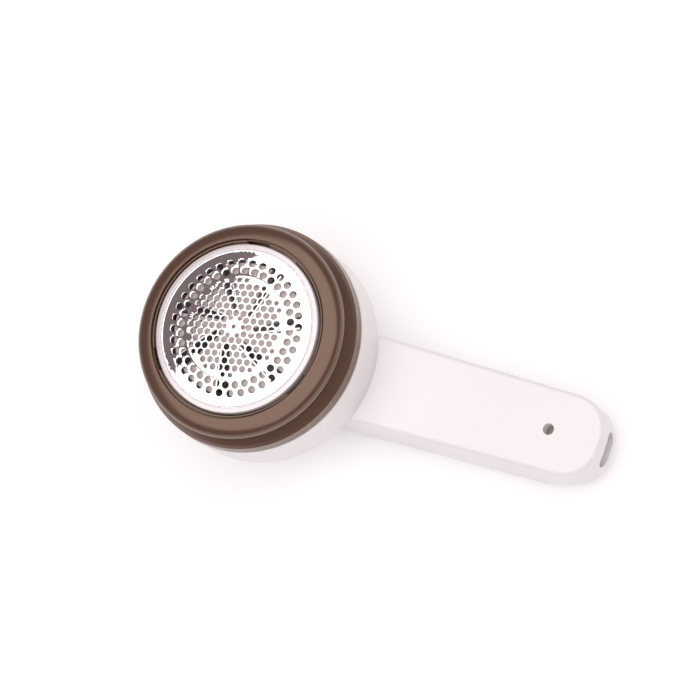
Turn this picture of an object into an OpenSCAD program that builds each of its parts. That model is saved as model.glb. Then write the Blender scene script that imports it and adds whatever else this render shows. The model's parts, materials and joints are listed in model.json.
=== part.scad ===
// Rechargeable fabric shaver, lying on its back.
// Origin: on the head's axis, in the flat rest face. +Z out of the foil, +X along the handle to the tail.

/* [Body] */
// Thickness of the handle, from its back to its face
handle_t = 22.6; // [21.5:0.1:27]
// Distance from the head's axis to the tip of the tail
tail_x = 105; // [100:0.5:126]
// Width of the handle's face where it leaves the head
handle_w = 26.2; // [25.5:0.1:31.4]
// How much narrower the face is at the tail
handle_taper = 2.8; // [0:0.1:3]
// How far each side leans out from the face to the back
handle_flare = 1.2; // [0:0.1:2]
// Radius of the tail's corners, seen from the front
tail_corner_r = 10.2; // [9.5:0.1:11]
// Round along the edge of the face
face_edge_r = 1.5; // [1:0.1:1.8]
// Round along the edge of the back
back_edge_r = 7.5; // [4:0.5:8]
// Round under the tip of the tail
tail_back_r = 9.4; // [8:0.1:9.4]
// Outer radius of the drum
drum_r = 33.6; // [32.6:0.1:40.3]
// Height of the drum above the handle's face
drum_h = 13.8; // [13.2:0.1:16.5]
// Depth of the parting line and the port below the handle's face
split_depth = 9.4; // [9:0.1:11.4]
// Wall of both shells
wall = 2; // [1.8:0.1:2.2]
// Radius of the flat under the head
bowl_flat_r = 18; // [17.5:0.5:20]
// Round at the edge of that flat
bowl_edge_r = 5; // [4:0.5:6]

/* [Lint bin] */
// Height of the smoked bin above the drum's rim
bin_h = 12.6; // [12.4:0.1:15]
// Outer radius of the bin's front lip
lip_r = 31.5; // [31:0.1:33]
// Drop of the lip's rim below the bright ring
lip_drop = 2.9; // [2.4:0.1:3]
// Round under the lip's rim
lip_edge_r = 1.2; // [1:0.1:1.2]
// Radius of the waist between lip and flange
waist_r = 30.2; // [29.6:0.1:30.4]
// Wall of the bin
bin_wall = 1.8; // [1.5:0.1:2]
// Depth of the bin's spigot inside the drum
spigot_h = 2.5; // [2:0.1:2.7]

/* [Foil] */
// Outer radius of the bright ring
bezel_r = 25; // [24.8:0.1:25.6]
// Width of the bright ring's face
bezel_w = 1.7; // [1.5:0.1:2]
// Rise of the foil's crown above its rim
foil_crown = 2.4; // [2:0.1:2.6]
// Thickness of the foil
foil_t = 0.2; // [0.15:0.05:0.3]
// Spacing of the holes in the middle field
hole_pitch = 2.3; // [2.2:0.05:2.35]
// Diameter of the holes in the middle field
hole_d = 1.83; // [1.6:0.01:1.9]
// Diameter of the holes in the two outer rings
ring_hole_d = 2.1; // [1.8:0.1:2.3]
// Holes in each outer ring
ring_holes = 36; // [30:1:38]
// Turn that frees the bright ring, in degrees
twist = 20; // [16:1:24]

/* [Cutter and motor] */
// Outer radius of the cutter wheel
wheel_r = 19.6; // [19:0.1:20.4]
// Number of petals and blades
petals = 7; // [5:1:8]
// Width of the slot between petals, at its root
petal_gap = 2; // [1.6:0.1:2.4]
// Angle between a slot and the wheel's radius
slot_lean = 22; // [0:1:30]
// Angle at which a slot opens towards the rim
slot_spread = 8; // [0:1:10]
// Thickness of a blade
blade_t = 0.5; // [0.4:0.1:0.8]
// Clearance between blades and foil
blade_gap = 0.12; // [0.08:0.01:0.3]
// Diameter of the motor's can
motor_d = 24.4; // [20.4:0.1:24.4]
// Diameter of the drive shaft
shaft_d = 2; // [2:0.1:2.4]

/* [Power] */
// Diameter of the battery cell
cell_d = 14.2; // [13.5:0.1:14.4]
// Length of the battery cell
cell_l = 49; // [42:0.5:50]
// Width of the charging port's recess
port_w = 10.4; // [10:0.1:11]
// Height of the charging port's recess
port_h = 5.6; // [4.6:0.1:5.6]
// Diameter of the indicator's hole in the face
light_d = 3.3; // [2.8:0.1:3.6]
// Distance from the tip of the tail to the indicator's hole
light_inset = 15.5; // [14.5:0.1:15.5]
// Depth of the indicator's well
light_well = 3.9; // [3:0.1:4.2]
// Diameter of the power button
button_d = 11; // [9:0.1:11.6]
// Distance from the head's axis to the power button
button_x = 46; // [45.5:0.5:47]
// Travel of the power button
button_travel = 0.5; // [0.3:0.1:0.55]

/* [Hidden] */

$fn = 96;

// Clearances
fit = 0.1;
slip = 0.2;
run = 0.05;
press = 0.02;
// Overshoot of a cut past the face it opens
cut = 1;
big = 400;

// Heights
split_z = handle_t - split_depth;
rim_z = handle_t + drum_h;
ring_z = rim_z + bin_h;
floor_top_z = rim_z - spigot_h - 0.5;
floor_z = floor_top_z - wall;
drum_foot_z = handle_t + 0.2;
drum_bore_r = drum_r - wall;

// Slope of the bowl under the drum, so that it meets the foot of the drum's wall
bowl_reach = norm([drum_r - bowl_flat_r, drum_foot_z - bowl_edge_r]);
bowl_angle = acos(bowl_edge_r / bowl_reach) - atan2(drum_foot_z - bowl_edge_r, drum_r - bowl_flat_r);

// Foil: part of a sphere, with its crown on the head's axis
foil_r = bezel_r - 1;
foil_rim_z = ring_z - 0.2;
sphere_r = (foil_r * foil_r + foil_crown * foil_crown) / (2 * foil_crown);
sphere_z = foil_rim_z + foil_crown - sphere_r;

// Bayonet of the bright ring
lug_count = 3;
lug_width = 14;
lug_h = 1;
lug_reach = 0.9;
entry_angle = -25;
skirt_h = 4.2;
skirt_t = 0.9;
neck_bore_r = bezel_r + slip;
neck_r = neck_bore_r + bin_wall;
neck_h = 6;

// Bin
spigot_r = drum_bore_r - 0.3;
spigot_bore_r = spigot_r - bin_wall;
flange_r = drum_r - 0.2;
seal_r = 0.28;
tab_reach = 3;

// Motor, from its front face under the drum's floor down to the damper
motor_r = motor_d / 2;
damper_t = 1.4;
end_cap_h = 2;
motor_foot_z = wall + damper_t;
can_foot_z = motor_foot_z + end_cap_h;
can_t = 0.8;
nose_r = 3.1;
nose_h = 1.6;
bush_r = 2.4;
shaft_r = shaft_d / 2;
motor_screw_r = 8;
wheel_drop = 1.3;
wheel_t = 2.6;
wheel_foot_z = foil_rim_z - wheel_drop - wheel_t;
hub_r = 3.4;
slot_root_r = hub_r + 1.6;
hub_foot_z = floor_top_z + 2.2;
shaft_top_z = wheel_foot_z + 1.6;

// Interlock pin, pressed down by the bin's tab
pin_x = -(spigot_bore_r - 1.7);
pin_r = 1;
pin_rise = 1.2;
pin_collar_r = 1.8;
pin_collar_h = 1;
micro = [5, 5, 4];
micro_top_z = floor_z - 4;
pin_foot_z = micro_top_z - 1.8;

// Switch board and power button, under the battery
button_recess = 0.3;
button_flange_t = 0.5;
button_flange_r = button_d / 2 + 1;
button_top_z = wall + run + button_flange_t;
tact = [5, 5, 1.2];
tact_foot_z = button_top_z + button_travel + 0.15;
switch_board_z = tact_foot_z + tact[2];
board_t = 0.8;
switch_board_l = 18;
switch_board_w = 15;
switch_board_x = button_x - 10;
pad_t = 0.5;
cell_z = switch_board_z + board_t + pad_t + run + cell_d / 2;
cell_x = drum_r - 4.6;

// Bosses that take the shells' screws, beside the motor and behind the battery
boss_r = 2.7;
head_bosses = [for (a = [120, 240]) (motor_r + boss_r + 0.5) * [cos(a), sin(a)]];
tail_boss = [cell_x + cell_l + boss_r + 0.6, 0];
boss_places = concat(head_bosses, [tail_boss]);

// Charge board, level with the port on the parting line
port_shell = [7.3, 8.94, 3.26];
port_mouth_x = tail_x - 3.2;
charge_board_z = split_z - port_shell[2] / 2 - board_t;
charge_board_x = tail_boss[0] + boss_r + 0.4;
charge_board_w = 16;
board_neck_w = 9.2;
light_x = tail_x - light_inset;
light_chip_h = 0.8;

// Screws that hold the shells together, from the back
screw_r = 1.1;
screw_head_r = 2.1;
screw_head_h = 1.5;
counterbore_h = 5;
screw_l = split_z - counterbore_h + 3.7;
counterbore_r = screw_head_r + slip;

// Wires
wire_r = 0.6;
wire_sides = 8;

// Colours
white = [0.95, 0.94, 0.93];
smoke = [0.38, 0.28, 0.24, 0.85];
bright = [0.88, 0.86, 0.86];
steel = [0.75, 0.75, 0.76];
petal_colour = [0.82, 0.77, 0.76];
board_green = [0.10, 0.35, 0.20];
black = [0.08, 0.08, 0.09];

// ---------------------------------------------------------------- shared shapes

// Points on an arc of radius r about [x, y], from angle a to angle b
function arc(x, y, r, a, b, steps) =
    [for (i = [0:steps]) let (t = a + (b - a) * i / steps) [x + r * cos(t), y + r * sin(t)]];

// Half the width of the handle's face, at a distance x from the head's axis
function half_w(x) =
    (handle_w - handle_taper * (x - drum_r) / (tail_x - drum_r)) / 2;

// One upright rounded post of the handle's form; the form is the hull of several
module edge_post(r, flare, back_r, inset) {
    top_r = max(face_edge_r - inset, 0.3);
    foot_r = back_r - inset;
    rotate_extrude($fn = 64)
        polygon(concat(
            [[0, inset]],
            arc(r + flare - back_r, back_r, foot_r, -90, 0, 8),
            arc(r - inset - top_r, handle_t - inset - top_r, top_r, 0, 90, 5),
            [[0, handle_t - inset]]
        ));
}

// Outer form of the handle, or its cavity when inset by the wall
module grip_form(inset = 0) {
    head_x = drum_r / 3;
    kink_x = tail_x - 17;
    kink_r = back_edge_r + 0.5;
    end_x = tail_x - tail_corner_r;
    hull()
        for (side = [-1, 1]) {
            translate([head_x, side * (half_w(head_x) - tail_corner_r), 0])
                edge_post(tail_corner_r, handle_flare, back_edge_r, inset);
            translate([kink_x, side * (half_w(kink_x) - kink_r), 0])
                edge_post(kink_r, handle_flare, back_edge_r, inset);
            translate([end_x, side * (half_w(end_x) - tail_corner_r), 0])
                edge_post(tail_corner_r, 0, tail_back_r, inset);
        }
}

// Outer form of the head, or its cavity when inset by the wall
module head_form(inset, top_z) {
    edge_r = bowl_edge_r - inset;
    slope_r = bowl_flat_r + edge_r * cos(bowl_angle);
    slope_z = bowl_edge_r - edge_r * sin(bowl_angle);
    wall_r = drum_r - inset;
    foot_z = slope_z + (wall_r - slope_r) / tan(bowl_angle);
    rotate_extrude()
        polygon(concat(
            [[0, inset]],
            arc(bowl_flat_r, bowl_edge_r, edge_r, -90, -bowl_angle, 6),
            [[wall_r, foot_z], [wall_r, top_z], [0, top_z]]
        ));
}

// Everything above or below the parting plane
module front_side() {
    translate([-big / 2, -big / 2, split_z])
        cube(big);
}

module back_side() {
    translate([-big / 2, -big / 2, split_z - big])
        cube(big);
}

// A ring of round section profile: a cylinder wall between two radii
module tube(outer_r, inner_r, h) {
    difference() {
        cylinder(r = outer_r, h = h);
        translate([0, 0, -cut])
            cylinder(r = inner_r, h = h + 2 * cut);
    }
}

// A sector of a cylinder wall, centred on the angle at
module arc_wall(outer_r, inner_r, h, at, width) {
    rotate([0, 0, at - width / 2])
        rotate_extrude(angle = width)
            translate([inner_r, 0])
                square([outer_r - inner_r, h]);
}

// Flat slot with round ends, w wide and h high, cut along X
module obround(w, h, l) {
    rotate([90, 0, 90])
        linear_extrude(l)
            union() {
                square([w - h, h], center = true);
                for (side = [-1, 1])
                    translate([side * (w - h) / 2, 0])
                        circle(d = h);
            }
}

// One pass of corner cutting along a route
function smooth(p) =
    let (n = len(p) - 1)
    concat(
        [p[0]],
        [for (i = [1:n - 1]) each [p[i] + (p[i - 1] - p[i]) / 4, p[i] + (p[i + 1] - p[i]) / 4]],
        [p[n]]
    );

function unit(v) = v / norm(v);

// Direction of a route at its point i
function heading(p, i) = unit(p[min(i + 1, len(p) - 1)] - p[max(i - 1, 0)]);

// A round wire along a route that never runs straight across the handle
module wire(route, r = wire_r) {
    path = smooth(smooth(route));
    n = len(path);
    across = [0, 1, 0];
    points = [
        for (i = [0:n - 1])
            let (ahead = heading(path, i), up = unit(cross(ahead, across)), side = cross(up, ahead))
                for (k = [0:wire_sides - 1])
                    path[i] + r * (cos(360 * k / wire_sides) * side + sin(360 * k / wire_sides) * up)
    ];
    sides = [
        for (i = [0:n - 2])
            for (k = [0:wire_sides - 1])
                let (a = i * wire_sides + k, b = i * wire_sides + (k + 1) % wire_sides)
                    [a, b, b + wire_sides, a + wire_sides]
    ];
    first_end = [for (k = [0:wire_sides - 1]) wire_sides - 1 - k];
    last_end = [for (k = [0:wire_sides - 1]) (n - 1) * wire_sides + k];
    polyhedron(points, concat([first_end], sides, [last_end]));
}

// ---------------------------------------------------------------- shells

module front_shell() {
    micro_rib_t = 1.5;
    light_boss_r = light_d / 2 + 1;
    color(white)
        difference() {
            union() {
                difference() {
                    intersection() {
                        union() {
                            head_form(0, rim_z);
                            grip_form();
                        }
                        front_side();
                    }
                    head_form(wall, floor_z);
                    grip_form(wall);
                    translate([0, 0, floor_top_z])
                        cylinder(r = drum_bore_r, h = big);
                }
                for (place = head_bosses)
                    translate([place[0], place[1], split_z])
                        cylinder(r = boss_r, h = floor_z - split_z + wall / 2);
                translate([tail_boss[0], tail_boss[1], split_z])
                    cylinder(r = boss_r, h = handle_t - split_z - wall / 2);
                for (side = [-1, 1])
                    translate([pin_x - micro[0] / 2 - 0.8, side * (micro[1] / 2 + fit + micro_rib_t / 2)
                               - micro_rib_t / 2, micro_top_z - micro[2] + 0.5])
                        cube([micro[0] + 0.8, micro_rib_t, floor_z - micro_top_z + micro[2]]);
                translate([light_x, 0, handle_t - light_well - 3])
                    cylinder(r = light_boss_r, h = light_well + 2);
            }
            translate([0, 0, floor_z - cut])
                cylinder(r = nose_r + fit, h = wall + 2 * cut);
            for (side = [-1, 1])
                translate([0, side * motor_screw_r, floor_z - cut])
                    cylinder(r = screw_r + fit, h = wall + 2 * cut);
            translate([pin_x, 0, floor_z - cut])
                cylinder(r = pin_r + 0.08, h = wall + 2 * cut);
            translate([light_x, 0, split_z])
                cylinder(d = light_d, h = handle_t);
            for (place = boss_places)
                translate([place[0], place[1], split_z - cut])
                    cylinder(r = screw_r, h = screw_l - split_z + counterbore_h + 2 * cut);
            translate([port_mouth_x - 0.8, 0, split_z])
                obround(port_w, port_h, 2 * wall + 2);
        }
}

module back_shell() {
    rib_t = 1.6;
    post_r = 1.5;
    rib_places = [cell_x + 29, cell_x + cell_l - 4];
    color(white)
        difference() {
            union() {
                difference() {
                    intersection() {
                        union() {
                            head_form(0, rim_z);
                            grip_form();
                        }
                        back_side();
                    }
                    head_form(wall, floor_z);
                    grip_form(wall);
                }
                for (place = boss_places)
                    translate([place[0], place[1], wall / 2])
                        cylinder(r = boss_r, h = split_z - wall / 2);
                for (x = rib_places)
                    translate([x, -cell_d / 2, wall / 2])
                        cube([rib_t, cell_d, cell_z - wall / 2 - 3]);
                for (x = [switch_board_x + 1.6, switch_board_x + switch_board_l - 1.6], side = [-1, 1])
                    translate([x, side * (switch_board_w / 2 - 1.6), wall / 2])
                        cylinder(r = post_r, h = switch_board_z - wall / 2);
                for (x = [charge_board_x + 2, tail_x - 13], side = [-1, 1])
                    translate([x, side * (charge_board_w / 2 - 2), wall / 2])
                        cylinder(r = post_r, h = charge_board_z - wall / 2);
            }
            for (place = boss_places)
                translate([place[0], place[1], -cut]) {
                    cylinder(r = counterbore_r, h = counterbore_h + cut);
                    cylinder(r = screw_r + fit, h = split_z + 2 * cut);
                }
            translate([cell_x, 0, cell_z])
                rotate([0, 90, 0])
                    cylinder(r = cell_d / 2 + run, h = cell_l + fit);
            translate([button_x, 0, -cut])
                cylinder(d = button_d + 2 * fit, h = wall + 2 * cut);
            translate([port_mouth_x - 0.8, 0, split_z])
                obround(port_w, port_h, 2 * wall + 2);
        }
}

// Pan-head screw, head down
module screw(l) {
    cylinder(r = screw_head_r, h = screw_head_h);
    cylinder(r = screw_r - press, h = screw_head_h + l);
}

module shell_screws() {
    color(steel)
        for (place = boss_places)
            translate([place[0], place[1], counterbore_h - screw_head_h])
                screw(screw_l);
}

// ---------------------------------------------------------------- lint bin

module lint_bin() {
    lip_root_r = neck_bore_r + 1.2;
    lip_h = lip_drop + 0.5;
    lip_rim_z = ring_z - lip_drop;
    under_lip_z = ring_z - bin_wall + 0.2;
    shoulder_z = ring_z - 7.6;
    waist_z = ring_z - 5;
    flange_z = ring_z - 8.6;
    section = concat(
        [
            [neck_bore_r, ring_z - neck_h], [neck_bore_r, ring_z - 0.5],
            [neck_bore_r + 0.5, ring_z - 0.5], [neck_bore_r + 0.5, ring_z - 0.2],
            [lip_root_r - 0.1, ring_z - 0.2]
        ],
        [for (t = [0:9:90]) [lip_root_r + (lip_r - lip_root_r) * sin(t), lip_rim_z + lip_h * cos(t)]],
        arc(lip_r - lip_edge_r, lip_rim_z, lip_edge_r, -10, -90, 6),
        [
            [waist_r, lip_rim_z - lip_edge_r - 0.1], [waist_r, waist_z],
            [flange_r - 0.8, shoulder_z], [flange_r - 0.1, flange_z],
            [flange_r, rim_z], [spigot_r, rim_z], [spigot_r, rim_z - spigot_h],
            [spigot_bore_r, rim_z - spigot_h], [spigot_bore_r, rim_z + 0.8],
            [flange_r - bin_wall, rim_z + 2.2], [flange_r - bin_wall, flange_z + 0.2],
            [waist_r - bin_wall, waist_z - 1.2], [waist_r - bin_wall, under_lip_z],
            [neck_r, under_lip_z], [neck_r, ring_z - neck_h]
        ]
    );
    groove_z = ring_z - skirt_h - 0.15;
    groove_h = lug_h + 0.3;
    lug_out_r = bezel_r + lug_reach + fit;
    color(smoke)
        difference() {
            union() {
                rotate_extrude()
                    polygon(section);
                intersection() {
                    translate([-spigot_r, -tab_reach, rim_z - spigot_h])
                        cube([spigot_r - spigot_bore_r + tab_reach, 2 * tab_reach, 2]);
                    cylinder(r = spigot_r - 0.5, h = big);
                }
            }
            for (i = [0:lug_count - 1]) {
                entry = entry_angle + i * 360 / lug_count;
                translate([0, 0, groove_z])
                    arc_wall(lug_out_r, neck_bore_r - cut, groove_h, entry - twist / 2, lug_width + twist + 4);
                translate([0, 0, groove_z + groove_h / 2])
                    arc_wall(lug_out_r, neck_bore_r - cut, big, entry, lug_width + 2);
            }
            translate([0, 0, rim_z - spigot_h / 2])
                tube(spigot_r + cut, spigot_r - 2 * seal_r + 0.16, 2 * seal_r + fit);
        }
}

module bin_seal() {
    color(black)
        translate([0, 0, rim_z - spigot_h / 2 + seal_r + fit / 2])
            rotate_extrude()
                translate([drum_bore_r - 0.08 - seal_r, 0])
                    circle(r = seal_r, $fn = 24);
}

// ---------------------------------------------------------------- foil

module foil_bezel() {
    inner_r = bezel_r - bezel_w;
    skirt_bore_r = bezel_r - skirt_t;
    color(bright)
        union() {
            rotate_extrude()
                polygon([
                    [inner_r, ring_z], [inner_r, ring_z + 0.4], [inner_r + 0.3, ring_z + 0.6],
                    [bezel_r - 0.4, ring_z + 0.35], [bezel_r, ring_z],
                    [bezel_r, ring_z - skirt_h], [skirt_bore_r, ring_z - skirt_h], [skirt_bore_r, ring_z]
                ]);
            for (i = [0:lug_count - 1])
                translate([0, 0, ring_z - skirt_h])
                    arc_wall(bezel_r + lug_reach, bezel_r - skirt_t / 2, lug_h,
                             entry_angle - twist + i * 360 / lug_count, lug_width);
        }
}

// Domed sheet with a hexagonal field of holes and two staggered rings of larger ones
module cutter_foil() {
    field_turn = 9.8;
    reach = 7;
    full_norm = 31;
    small_norms = [36, 37];
    small_d = 1.33;
    centre_d = 1.2;
    inner_ring_r = 2.9;
    inner_d = 1.26;
    outer_ring_r = 19.2;
    inner_row_r = 16.8;
    color(bright)
        intersection() {
            difference() {
                translate([0, 0, sphere_z])
                    sphere(r = sphere_r, $fn = 200);
                translate([0, 0, sphere_z])
                    sphere(r = sphere_r - foil_t, $fn = 200);
            }
            translate([0, 0, foil_rim_z - cut])
                linear_extrude(foil_crown + 2 * cut)
                    difference() {
                        circle(r = foil_r);
                        circle(d = centre_d, $fn = 24);
                        rotate(field_turn)
                            for (i = [-reach:reach], j = [-reach:reach]) {
                                n = i * i + i * j + j * j;
                                d = n > 1 && n <= full_norm ? hole_d : len(search(n, small_norms)) > 0 ? small_d : 0;
                                if (d > 0)
                                    translate(hole_pitch * [i + j / 2, j * sqrt(3) / 2])
                                        circle(d = d, $fn = 24);
                            }
                        for (i = [0:5])
                            rotate(field_turn + i * 60)
                                translate([inner_ring_r, 0])
                                    circle(d = inner_d, $fn = 24);
                        for (i = [0:ring_holes - 1]) {
                            rotate((i + 0.5) * 360 / ring_holes)
                                translate([outer_ring_r, 0])
                                    circle(d = ring_hole_d, $fn = 24);
                            rotate(i * 360 / ring_holes)
                                translate([inner_row_r, 0])
                                    circle(d = ring_hole_d, $fn = 24);
                        }
                    }
        }
}

module foil_clamp_ring() {
    color(white)
        translate([0, 0, ring_z - skirt_h + 0.6])
            tube(foil_r, foil_r - 1.6, foil_rim_z - foil_t - run - ring_z + skirt_h - 0.6);
}

// ---------------------------------------------------------------- cutter

// Solid under a dome that runs a gap below the foil
module under_foil(r, gap) {
    intersection() {
        cylinder(r = r, h = big);
        translate([0, 0, sphere_z])
            sphere(r = sphere_r - foil_t - gap, $fn = 200);
    }
}

// Places its children at the root of each slot, with +X along the slot
module at_each_slot() {
    for (i = [0:petals - 1])
        rotate([0, 0, i * 360 / petals])
            translate([slot_root_r, 0, 0])
                rotate([0, 0, slot_lean])
                    children();
}

// Domed disc that leaning slots cut into petals
module cutter_wheel() {
    slot_l = wheel_r;
    color(petal_colour)
        difference() {
            intersection() {
                under_foil(wheel_r, wheel_drop);
                translate([0, 0, wheel_foot_z])
                    cylinder(r = wheel_r + cut, h = big);
            }
            at_each_slot()
                translate([0, 0, wheel_foot_z - cut])
                    linear_extrude(big)
                        polygon([
                            [0, -petal_gap / 2], [slot_l, -petal_gap / 2],
                            [slot_l, petal_gap / 2 + slot_l * tan(slot_spread)], [0, petal_gap / 2]
                        ]);
            translate([0, 0, wheel_foot_z - cut])
                cylinder(r = shaft_r + press, h = shaft_top_z - wheel_foot_z + cut + 0.2);
        }
}

module wheel_hub() {
    color(petal_colour)
        translate([0, 0, hub_foot_z])
            tube(hub_r, shaft_r + press, wheel_foot_z - hub_foot_z);
}

module cutter_blades() {
    color(steel)
        intersection() {
            under_foil(wheel_r, blade_gap);
            at_each_slot()
                translate([0, -petal_gap / 2, wheel_foot_z])
                    cube([wheel_r, blade_t, big]);
        }
}

// ---------------------------------------------------------------- motor

module drive_shaft() {
    color(steel)
        translate([0, 0, motor_foot_z + 0.6])
            cylinder(r = shaft_r, h = shaft_top_z - motor_foot_z - 0.6, $fn = 48);
}

module motor_can() {
    color(steel)
        difference() {
            union() {
                translate([0, 0, can_foot_z])
                    cylinder(r = motor_r, h = floor_z - can_foot_z);
                translate([0, 0, floor_z - cut])
                    cylinder(r = nose_r, h = nose_h + cut);
            }
            translate([0, 0, can_foot_z - cut])
                cylinder(r = motor_r - can_t, h = floor_z - can_foot_z - can_t + cut);
            translate([0, 0, floor_z - can_t - cut])
                cylinder(r = bush_r, h = nose_h + can_t + 2 * cut);
            for (side = [-1, 1])
                translate([0, side * motor_screw_r, floor_z - can_t - cut])
                    cylinder(r = screw_r, h = can_t + 2 * cut);
        }
}

module motor_magnets() {
    magnet_t = 2.2;
    outer_r = motor_r - can_t - run;
    magnet_z = can_foot_z + 3;
    color([0.25, 0.24, 0.24])
        for (side = [0, 180])
            translate([0, 0, magnet_z])
                arc_wall(outer_r, outer_r - magnet_t, floor_z - can_t - 4 - magnet_z, side, 130);
}

module motor_armature() {
    core_r = motor_r - can_t - 2.7;
    core_z = can_foot_z + 5;
    core_h = floor_z - can_t - 6 - core_z;
    slots = 3;
    color([0.62, 0.35, 0.18])
        translate([0, 0, core_z])
            difference() {
                cylinder(r = core_r, h = core_h);
                translate([0, 0, -cut])
                    cylinder(r = shaft_r + press, h = core_h + 2 * cut);
                for (i = [0:slots - 1])
                    rotate([0, 0, i * 360 / slots])
                        translate([core_r - 2.2, -0.9, -cut])
                            cube([core_r, 1.8, core_h + 2 * cut]);
            }
}

module motor_commutator() {
    color([0.72, 0.45, 0.22])
        translate([0, 0, can_foot_z + 0.6])
            tube(2.6, shaft_r + press, 3.6);
}

module motor_end_cap() {
    color(black)
        difference() {
            translate([0, 0, motor_foot_z])
                cylinder(r = motor_r - fit, h = end_cap_h);
            translate([0, 0, motor_foot_z - cut])
                cylinder(r = bush_r, h = end_cap_h + 2 * cut);
        }
}

module motor_brushes() {
    color([0.80, 0.62, 0.30])
        for (side = [-1, 1]) {
            translate([-1.2, side * 3.3 - 0.5, can_foot_z])
                cube([2.4, 1, 3]);
            translate([6, side * 3.2 - 1.2, motor_foot_z - 0.7])
                cube([2.6, 2.4, 0.7]);
        }
}

module motor_bushes() {
    color([0.70, 0.52, 0.28]) {
        translate([0, 0, floor_z - can_t])
            tube(bush_r, shaft_r + run, nose_h + can_t);
        translate([0, 0, motor_foot_z])
            tube(bush_r, shaft_r + run, end_cap_h);
    }
}

module motor_damper() {
    color(black)
        translate([0, 0, wall])
            arc_wall(motor_r - 0.2, motor_r - 2.4, damper_t, 180, 280);
}

module motor_screws() {
    color(steel)
        for (side = [-1, 1])
            translate([0, side * motor_screw_r, floor_top_z + screw_head_h])
                mirror([0, 0, 1])
                    screw(wall + can_t + 0.6);
}

module shaft_seal() {
    color([0.55, 0.53, 0.50])
        translate([0, 0, floor_top_z])
            tube(hub_r + 1, shaft_r + 0.08, 1.4);
}

// ---------------------------------------------------------------- interlock

module interlock_pin() {
    top_z = rim_z - spigot_h;
    collar_z = floor_z - pin_rise - fit - pin_collar_h;
    color([0.85, 0.30, 0.15])
        translate([pin_x, 0, 0]) {
            translate([0, 0, pin_foot_z])
                cylinder(r = pin_r, h = top_z - pin_foot_z, $fn = 48);
            translate([0, 0, collar_z])
                cylinder(r = pin_collar_r, h = pin_collar_h, $fn = 48);
        }
}

module interlock_switch() {
    color(black)
        difference() {
            translate([pin_x - micro[0] / 2, -micro[1] / 2, micro_top_z - micro[2]])
                cube(micro);
            translate([pin_x, 0, pin_foot_z - 0.3])
                cylinder(r = pin_r + 0.08, h = micro[2], $fn = 48);
        }
}

// ---------------------------------------------------------------- battery

module battery_cell() {
    color([0.16, 0.42, 0.62])
        translate([cell_x + 0.4, 0, cell_z])
            rotate([0, 90, 0])
                cylinder(d = cell_d, h = cell_l - 0.8);
}

module battery_tabs() {
    tab = [0.3, 5, 5];
    color(steel)
        for (x = [cell_x + 0.1, cell_x + cell_l - 0.4])
            translate([x, -tab[1] / 2, cell_z - tab[2] / 2])
                cube(tab);
}

module battery_pad() {
    pad_w = 8;
    color([0.30, 0.30, 0.32])
        translate([switch_board_x + 1, -pad_w / 2, switch_board_z + board_t])
            cube([switch_board_l - 2, pad_w, pad_t]);
}

// ---------------------------------------------------------------- boards

module charge_board() {
    neck_x = tail_x - 11;
    color(board_green)
        translate([0, 0, charge_board_z]) {
            translate([charge_board_x, -charge_board_w / 2, 0])
                cube([neck_x - charge_board_x, charge_board_w, board_t]);
            translate([neck_x - cut, -board_neck_w / 2, 0])
                cube([port_mouth_x - neck_x + cut - 0.5, board_neck_w, board_t]);
        }
}

module charge_port() {
    shell_t = 0.3;
    color(steel)
        translate([port_mouth_x - port_shell[0], 0, split_z])
            difference() {
                obround(port_shell[1], port_shell[2], port_shell[0]);
                translate([0.6, 0, 0])
                    obround(port_shell[1] - 2 * shell_t, port_shell[2] - 2 * shell_t, port_shell[0]);
            }
}

module port_tongue() {
    tongue = [5.6, 6.6, 0.7];
    color(black)
        translate([port_mouth_x - port_shell[0] + 0.6, -tongue[1] / 2, split_z - tongue[2] / 2])
            cube(tongue);
}

module charge_chip() {
    clear = 0.6;
    chip = [light_x - light_d / 2 - charge_board_x - 2 * clear, 3, 1];
    color(black)
        translate([charge_board_x + clear, -chip[1] / 2, charge_board_z + board_t])
            cube(chip);
}

module charge_light() {
    side = 1.6;
    color([0.95, 0.90, 0.70])
        translate([light_x - side / 2, -side / 2, charge_board_z + board_t])
            cube([side, side, light_chip_h]);
}

module light_pipe() {
    foot_z = charge_board_z + board_t + light_chip_h + 0.1;
    color([0.90, 0.88, 0.84, 0.8])
        translate([light_x, 0, foot_z])
            cylinder(r = light_d / 2 - press, h = handle_t - light_well - foot_z, $fn = 48);
}

module switch_board() {
    color(board_green)
        translate([switch_board_x, -switch_board_w / 2, switch_board_z])
            cube([switch_board_l, switch_board_w, board_t]);
}

module power_switch() {
    color(steel)
        difference() {
            translate([button_x - tact[0] / 2, -tact[1] / 2, tact_foot_z])
                cube(tact);
            translate([button_x, 0, tact_foot_z - cut])
                cylinder(r = 1.2 + run, h = tact[2] + cut - 0.1, $fn = 48);
        }
}

module switch_plunger() {
    color(black)
        translate([button_x, 0, button_top_z])
            cylinder(r = 1.2, h = tact_foot_z - button_top_z + 0.4, $fn = 48);
}

// Cap with a shallow dish for the thumb and a flange that keeps it in
module power_button() {
    dish_r = 40;
    dish_depth = 0.35;
    color([0.90, 0.89, 0.88])
        translate([button_x, 0, 0])
            difference() {
                union() {
                    translate([0, 0, button_recess])
                        cylinder(d = button_d, h = button_top_z - button_recess);
                    translate([0, 0, button_top_z - button_flange_t])
                        cylinder(r = button_flange_r, h = button_flange_t);
                }
                translate([0, 0, button_recess + dish_depth - dish_r])
                    sphere(r = dish_r, $fn = 200);
            }
}

// ---------------------------------------------------------------- wires

module motor_lead(side) {
    y = side * 3.2;
    end_x = switch_board_x + 1.2;
    run_z = wall + wire_r + fit;
    wire([
        [8.6, y, motor_foot_z - 0.55], [14, y, run_z], [end_x - 6, y, run_z],
        [end_x - 0.4, y, run_z], [end_x, y, switch_board_z - 0.8], [end_x, y, switch_board_z]
    ], 0.5);
}

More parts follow.
